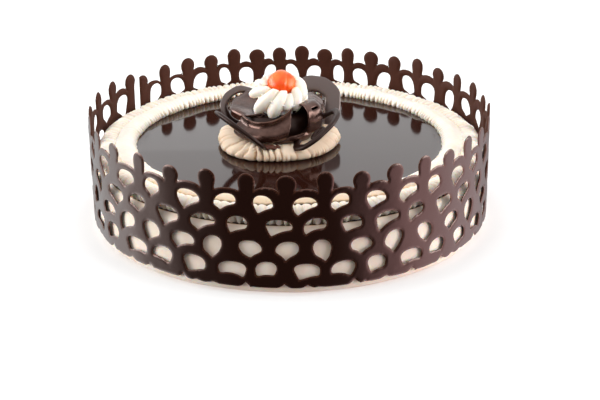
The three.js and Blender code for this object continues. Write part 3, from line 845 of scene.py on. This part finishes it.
def curl_sheet(name, curl):
    shape = bmesh.new()
    bmesh.ops.create_grid(shape, x_segments=SHEET_COLUMNS, y_segments=SHEET_ROWS, size=0.5,
                          matrix=Matrix.Translation((0.5, 0.5, 0)))
    thin = shape.verts.layers.float.new("thin")
    hole = Vector((*curl.get("hole", (-1, -1)), 0))
    gaps = [face.calc_center_median() - hole for face in shape.faces]
    torn = [face for face, gap in zip(shape.faces, gaps)
            if abs(gap.x) < HOLE_HALF[0] and abs(gap.y) < HOLE_HALF[1]]
    for vert in shape.verts:
        side, share = vert.co.x, vert.co.y
        # The rim of every sheet gets a painted highlight through the thin value.
        vert[thin] = max(0, (share - RIM_SHARE) / (1 - RIM_SHARE))
        before, after = (1 - side) ** 3, side ** 3
        waves = math.sin(side * 9 + curl["start"]) + 0.5 * math.sin(side * 21 + share * 4)
        ripple = share * curl["crease"] * waves
        radius, height = curved(curl["section"], share)
        radius += ripple - share * (curl["draw"][0] * before + curl["draw"][1] * after)
        height += share ** 0.6 * (curl["rise"][0] * before + curl["rise"][1] * after) + 0.6 * ripple
        first, last = [curl[key] + lean * (1 - share) for key, lean in zip(("start", "end"), curl["slant"])]
        azimuth = math.radians(first + (last - first) * side)
        vert.co = CENTRE + Vector((radius * math.sin(azimuth), -radius * math.cos(azimuth), height))
    bmesh.ops.delete(shape, geom=torn, context="FACES")
    bmesh.ops.recalc_face_normals(shape, faces=shape.faces)
    bmesh.ops.solidify(shape, geom=shape.faces[:], thickness=SHEET)
    return mesh_of(shape, name)


def ruffle_core():
    shape = spun(CORE_PROFILE, CORE_STEPS)
    bmesh.ops.translate(shape, verts=shape.verts, vec=CENTRE)
    return mesh_of(shape, "ruffle_core")


# The dark core is painted shade between the curls.
finish_piece("ruffle_core", ruffle_core(), dull_chocolate, "chocolate_ruffle")
for curl_name, curl in CURLS.items():
    finish_piece(curl_name, curl_sheet(curl_name, curl), curl_chocolate,
                 "chocolate_ruffle", rounds=1)

# %% [markdown]
# Four piped ovals stand round the ruffle like wings. Each is a flat band with round edges. A small
# circle spun round a centre gives a ring, and the ring is then fitted between the outer oval and its
# opening, so one function makes thin loops as well as the broad plate at the back. The loop at the
# front right was piped with a second, smaller loop inside.

# %% Piped wings
WING_HALF_THICKNESS = 1.35
RING_RADIUS = 3
RING_SIDES = 14
RING_STEPS = 72
FLATNESS = 0.7
WINGS = {
    "wing_back_left": dict(middle=(-30.3, 21, 63.4), heading=205, lean=32, roll=0,
                           half=(15.6, 14.2), opening=(0.68, 0.66)),
    "wing_back_right": dict(middle=(15.5, 22, 65.4), heading=165, lean=34, roll=-20,
                            half=(18.6, 18.8), opening=(0.42, 0.4)),
    "wing_front_left": dict(middle=(-29.9, -31, 65.5), heading=-62.2, lean=46.8, roll=45.8,
                            half=(14.5, 20), opening=(0.68, 0.7)),
    "wing_front_right": dict(middle=(17.3, -24.9, 63.6), heading=96.4, lean=56.7, roll=-35.1,
                             half=(13.5, 20), opening=(0.7, 0.76),
                             inner=((-5.5, -4), (4.2, 6), (0.2, 0.25))),
}


def wing_place(wing):
    turned = Matrix.Rotation(math.radians(wing["heading"]), 4, "Z")
    leaned = Matrix.Rotation(math.radians(wing["lean"] + 90), 4, "X")
    rolled = Matrix.Rotation(math.radians(wing["roll"]), 4, "Z")
    return Matrix.Translation(wing["middle"]) @ turned @ leaned @ rolled


def piped_ring(half, opening):
    shape = bmesh.new()
    upright = Matrix.Translation((RING_RADIUS, 0, 0)) @ Matrix.Rotation(math.pi / 2, 4, "X")
    bmesh.ops.create_circle(shape, segments=RING_SIDES, radius=1, matrix=upright)
    bmesh.ops.spin(shape, geom=shape.verts[:] + shape.edges[:], cent=(0, 0, 0), axis=(0, 0, 1),
                   angle=TURN, steps=RING_STEPS, use_merge=True)
    for vert in shape.verts:
        angle = math.atan2(vert.co.y, vert.co.x)
        across = math.hypot(vert.co.x, vert.co.y) - RING_RADIUS
        share = 0.5 + 0.5 * math.copysign(abs(across) ** FLATNESS, across)
        thick = math.copysign(abs(vert.co.z) ** FLATNESS, vert.co.z) * WING_HALF_THICKNESS
        uneven = 1 + 0.015 * math.sin(angle * 5) + 0.01 * math.sin(angle * 9)
        x = half[0] * (opening[0] + (1 - opening[0]) * share) * uneven * math.cos(angle)
        y = half[1] * (opening[1] + (1 - opening[1]) * share) * uneven * math.sin(angle)
        vert.co = (x, y, thick)
    return shape


def piped_wing(name, wing):
    shape = piped_ring(wing["half"], wing["opening"])
    if "inner" in wing:
        middle, half, opening = wing["inner"]
        loop = piped_ring(half, opening)
        bmesh.ops.translate(loop, verts=loop.verts, vec=(*middle, 0))
        add_shape(shape, loop)
    bmesh.ops.transform(shape, matrix=wing_place(wing), verts=shape.verts)
    return mesh_of(shape, "piped_" + name)


for wing_name, wing in WINGS.items():
    surface = dull_chocolate if "front" in wing_name else plate_chocolate
    finish_piece("piped_" + wing_name, piped_wing(wing_name, wing), surface, wing_name)

# %% [markdown]
# The cream rosette was pressed from a star nozzle with a turn of the hand: its ridges run down in a
# slant, swell in the middle and end in separate blunt tips, and their upper ends stand round the
# cherry like a crown. Each ridge is a tube of its own, bent along a slanting path, and a plain core
# closes the middle. The list gives the upper end and the tip of every ridge, as azimuth, distance from
# the middle and height above the foot, and then its half width.

# %% Cream rosette
RIDGE_ENDS = [
    ((-53, 9.8, 21.0), (-76, 18.6, 11.6), 4.4), ((-22, 9.4, 22.0), (-48, 19.0, 4.6), 5.0),
    ((9, 9.4, 22.0), (-15, 17.4, 5.0), 5.0), ((33, 9.8, 19.4), (19, 15.0, 10.5), 4.4),
    ((60, 9.6, 21.6), (41, 15.2, 9.0), 4.8), ((96, 9.2, 22.4), (72, 13.6, 12.0), 5.0),
    ((130, 9.2, 22.0), (105, 13.4, 11.0), 4.8), ((165, 9.2, 21.6), (140, 14.0, 10.0), 4.8),
    ((-160, 9.2, 21.0), (175, 14.4, 9.0), 4.8), ((-125, 9.2, 20.6), (-148, 14.8, 10.0), 4.8),
    ((-90, 9.4, 20.4), (-112, 15.2, 12.0), 4.6),
]
RIDGE_RINGS = 26
RIDGE_WIDEST = 0.45
RIDGE_RUN = 0.57
ROSETTE_CORE = [(0, 1), (11, 1), (14, 4), (14.5, 8), (12.5, 13), (10, 17), (8, 18.5), (0, 18)]
ROSETTE_LEAN = math.radians(18)
ROSETTE_ROLL = math.radians(5.5)
ROSETTE_FOOT = Vector((-6.5, 3, 67.5))


def ridge_width(share):
    if share < RIDGE_WIDEST:
        return 0.42 + 0.58 * math.sin(math.pi / 2 * share / RIDGE_WIDEST)
    beyond = (share - RIDGE_WIDEST) / RIDGE_RUN
    return (1 - 0.38 * beyond ** 2) * math.sqrt(1 - beyond ** 4)


def ridge_tube(upper, tip, half_width):
    shape = bmesh.new()
    bmesh.ops.create_cone(shape, cap_ends=True, segments=20, radius1=1, radius2=1, depth=1,
                          matrix=Matrix.Translation((0, 0, 0.5)))
    sides = [edge for edge in shape.edges if abs(edge.verts[0].co.z - edge.verts[1].co.z) > 0.5]
    bmesh.ops.subdivide_edges(shape, edges=sides, cuts=RIDGE_RINGS)
    painted_shade = shape.verts.layers.float.new("painted_shade")
    for vert in shape.verts:
        share = vert.co.z
        around = math.atan2(vert.co.y, vert.co.x)
        # Painted shade: the flanks and the hidden side of each ridge are painted a warm tan.
        vert[painted_shade] = 0.32 * max(0, 0.78 - math.cos(around))
        fluted = 1 + 0.1 * math.cos(around * 3) + 0.03 * math.cos(around * 7)
        thick = half_width * ridge_width(share) * fluted
        azimuth, reach, height = Vector(upper).lerp(Vector(tip), share)
        turn = math.radians(azimuth - 6 * math.sin(math.pi * share))
        reach += 1.6 * math.sin(math.pi * share) + thick * 0.75 * math.cos(around)
        height += thick * 0.35 * math.cos(around) * (1 - share)
        side = thick * math.sin(around)
        vert.co = (reach * math.sin(turn) + side * math.cos(turn),
                   -reach * math.cos(turn) + side * math.sin(turn), height)
    return shape


def cream_rosette():
    shape = spun(ROSETTE_CORE, CORE_STEPS)
    shape.verts.layers.float.new("painted_shade")
    for upper, tip, half_width in RIDGE_ENDS:
        add_shape(shape, ridge_tube(upper, tip, half_width))
    lean = Matrix.Translation(ROSETTE_FOOT) @ Matrix.Rotation(ROSETTE_ROLL, 4, "Y")
    bmesh.ops.transform(shape, matrix=lean @ Matrix.Rotation(ROSETTE_LEAN, 4, "X"), verts=shape.verts)
    return mesh_of(shape, "cream_rosette")


finish_piece("cream_rosette", cream_rosette(), whipped_cream, "cream_swirl", rounds=1)

# %% [markdown]
# A few crumbs of broken chocolate lie on the cream in front. They are small balls with a dent here
# and there, joined to one piece.

# %% Chocolate crumbs
CRUMB_BED = 54.2
CRUMB_FLATNESS = 0.6
CRUMBS = [(-15.4, -32.4, 2.3), (-13.2, -34.0, 1.9), (-11.0, -33.2, 2.6), (-8.8, -34.2, 1.8),
          (-7.2, -32.8, 2.1), (-12.4, -31.4, 2.2)]


def chocolate_crumbs():
    shape = bmesh.new()
    for index, (x, y, size) in enumerate(CRUMBS):
        made = bmesh.ops.create_icosphere(shape, subdivisions=2, radius=size)
        for vert in made["verts"]:
            dent = 1 + 0.3 * math.sin(vert.co.x * 2.5 + index) * math.sin(vert.co.y * 3 + 2 * index)
            flat = Vector((vert.co.x, vert.co.y, vert.co.z * CRUMB_FLATNESS))
            vert.co = Vector((x, y, CRUMB_BED + 0.4 * size)) + flat * dent
    return mesh_of(shape, "chocolate_crumbs")


finish_piece("chocolate_crumbs", chocolate_crumbs(), broken_chocolate, rounds=1)

# %% [markdown]
# The cherry is nearly a ball, a little dented, with the shallow seam of the fruit. An icosphere has no
# poles that would show in the gloss, so it is the better start than a globe of rings.

# %% Cherry
CHERRY_MIDDLE = Vector((-4.7, -2, 86))
CHERRY_RADIUS = 9.3


def uneven_cherry():
    shape = bmesh.new()
    bmesh.ops.create_icosphere(shape, subdivisions=5, radius=CHERRY_RADIUS)
    for vert in shape.verts:
        way = vert.co.normalized()
        dent = 0.018 * math.sin(5 * way.x + 2) + 0.016 * math.sin(6 * way.y + 4 * way.z)
        seam = 0.045 * math.exp(-((way.x - 0.34 - 0.12 * way.z) / 0.08) ** 2) * (way.y < 0.3)
        vert.co = CHERRY_MIDDLE + vert.co * (0.98 + dent - seam)
    return mesh_of(shape, "candied_cherry")


finish_piece("candied_cherry", uneven_cherry(), cherry_skin, "cherry")

# %% [markdown]
# The floor is a plain pale sheet, and the light is a white tent with two bright cards, as in a small
# product studio: the cards stand low at the left and the right, the roof is bright, and the room
# behind the viewer is dim. The tent is painted on the world by direction: one ramp runs round the
# horizon from back to back, another from the horizon to the roof. The floor shows the shadow but is
# kept out of bounced light, and a second ramp round the horizon lights the upright sides from below,
# as a pale sheet between the cards would. A third ramp makes that light a little pink at the right.

# %% Floor and light
FLOOR_HALF = 4
FLOOR_GAP = 0.5 * MM
TENT = 7.0
CARD = 1.35
ROUND_STOPS = [(0, 0.14), (0.15, 0.15), (0.2, 1), (0.3, 1), (0.35, 0.08), (0.4, 0),
               (0.6, 0), (0.64, 0.08), (0.68, 1), (0.77, 1), (0.81, 0.15), (1, 0.14)]
LOW_STOPS = [(0, 0.08), (0.08, 0.12), (0.17, 0.27), (0.22, 0.35), (0.29, 0.13), (0.32, 0.06),
             (0.36, 0.03), (0.42, 0.01), (0.57, 0.01), (0.62, 0.06), (0.68, 0.38), (0.75, 0.4),
             (0.85, 0.24), (0.92, 0.08), (1, 0.08)]
TONE_STOPS = [(0.55, "#FFFFFF"), (0.65, "#FFE0E6"), (0.85, "#FFE6E8"), (1, "#FFFFFF")]
BAND_STOPS = [(0, 1), (0.2, 1), (0.5, 0)]
SKY_STOPS = [(0.1, 0), (0.3, 0.08), (0.45, 0.12), (0.7, 0.19), (1, 0.19)]
HORIZON = 0.03


def studio_floor():
    shape = bmesh.new()
    bmesh.ops.create_grid(shape, x_segments=1, y_segments=1, size=FLOOR_HALF,
                          matrix=Matrix.Translation((0, 0, -FLOOR_GAP)))
    mesh = mesh_of(shape, "studio_floor")
    material, tree, place = new_material("white paper sweep")
    fibres = add_node(tree, "ShaderNodeTexNoise", {"Vector": place, "Scale": 1 / (60 * MM)})
    tint = add_node(tree, "ShaderNodeValToRGB", {"Fac": fibres}, stops=[(0, "#F7F7F7"), (1, "#F9F9F9")])
    paper = add_node(tree, "ShaderNodeBsdfPrincipled", {"Base Color": tint, "Roughness": 0.9})
    add_node(tree, "ShaderNodeOutputMaterial", {"Surface": paper})
    mesh.materials.append(material)
    floor = bpy.data.objects.new("studio_floor", mesh)
    bpy.context.scene.collection.objects.link(floor)
    floor.visible_glossy = False
    floor.visible_diffuse = False
    return floor


def studio_light():
    world = bpy.data.worlds.new("white tent")
    bpy.context.scene.world = world
    world.use_nodes = True
    tree = world.node_tree
    tree.nodes.clear()
    way = add_node(tree, "ShaderNodeTexCoord", {}).outputs["Generated"]
    across, deep, rise = add_node(tree, "ShaderNodeSeparateXYZ", {"Vector": way}).outputs
    ahead = add_node(tree, "ShaderNodeMath", {0: deep, 1: -1.0}, operation="MULTIPLY")
    azimuth = add_node(tree, "ShaderNodeMath", {0: across, 1: ahead}, operation="ARCTAN2")
    share = add_node(tree, "ShaderNodeMapRange", {
        "Value": azimuth, "From Min": -math.pi, "From Max": math.pi})
    cards = add_node(tree, "ShaderNodeValToRGB", {"Fac": share}, stops=ROUND_STOPS)
    ring = add_node(tree, "ShaderNodeMath", {0: cards, 1: CARD}, operation="MULTIPLY")
    under = add_node(tree, "ShaderNodeValToRGB", {"Fac": share}, stops=LOW_STOPS)
    band = add_node(tree, "ShaderNodeValToRGB", {"Fac": rise}, stops=BAND_STOPS)
    sky = add_node(tree, "ShaderNodeValToRGB", {"Fac": rise}, stops=SKY_STOPS)
    over = add_node(tree, "ShaderNodeMath", {0: ring, 1: band, 2: sky}, operation="MULTIPLY_ADD")
    high = add_node(tree, "ShaderNodeMapRange", {"Value": rise, "From Min": -HORIZON, "From Max": HORIZON})
    tone = add_node(tree, "ShaderNodeValToRGB", {"Fac": share}, stops=TONE_STOPS)
    below = add_node(tree, "ShaderNodeMixRGB", {"Fac": 1.0, "Color1": under, "Color2": tone},
                     blend_type="MULTIPLY")
    glow = add_node(tree, "ShaderNodeMixRGB", {"Fac": high, "Color1": below, "Color2": over})
    seen = add_node(tree, "ShaderNodeLightPath", {}).outputs["Is Camera Ray"]
    colour = add_node(tree, "ShaderNodeMixRGB", {"Fac": seen, "Color1": glow, "Color2": linear("#FFFFFF")})
    strength = add_node(tree, "ShaderNodeMix", {"Factor": seen, "A": TENT, "B": 1.0}, data_type="FLOAT")
    shade = add_node(tree, "ShaderNodeBackground", {"Color": colour, "Strength": strength})
    add_node(tree, "ShaderNodeOutputWorld", {"Surface": shade})
    bpy.context.scene.view_settings.view_transform = "Standard"
    return world


print("floor:", studio_floor().name)
print("light:", studio_light().name)

# %% [markdown]
# The camera stands above the cake and looks down on it at about twenty two degrees through a long
# lens, so the far posts stay nearly as tall as the near ones. It is tilted by less than half a
# degree, as a camera held in the hand is.

# %% Camera
CAMERA_PLACE = Vector((6.40, -827.26, 347.95)) * MM
CAMERA_AIM = Vector((6.40, 0, 6.07)) * MM
CAMERA_ROLL = math.radians(-0.438)
LENS = 82.037


def photo_camera():
    ahead = (CAMERA_AIM - CAMERA_PLACE).to_track_quat("-Z", "Y")
    turn = ahead.to_matrix() @ Matrix.Rotation(CAMERA_ROLL, 3, "Z")
    data = bpy.data.cameras.new("camera")
    data.lens = LENS
    data.sensor_width = 36
    data.sensor_fit = "HORIZONTAL"
    camera = bpy.data.objects.new("camera", data)
    camera.matrix_world = Matrix.Translation(CAMERA_PLACE) @ turn.to_4x4()
    bpy.context.scene.collection.objects.link(camera)
    bpy.context.scene.camera = camera
    return camera


print("camera at", [round(value, 3) for value in photo_camera().location])
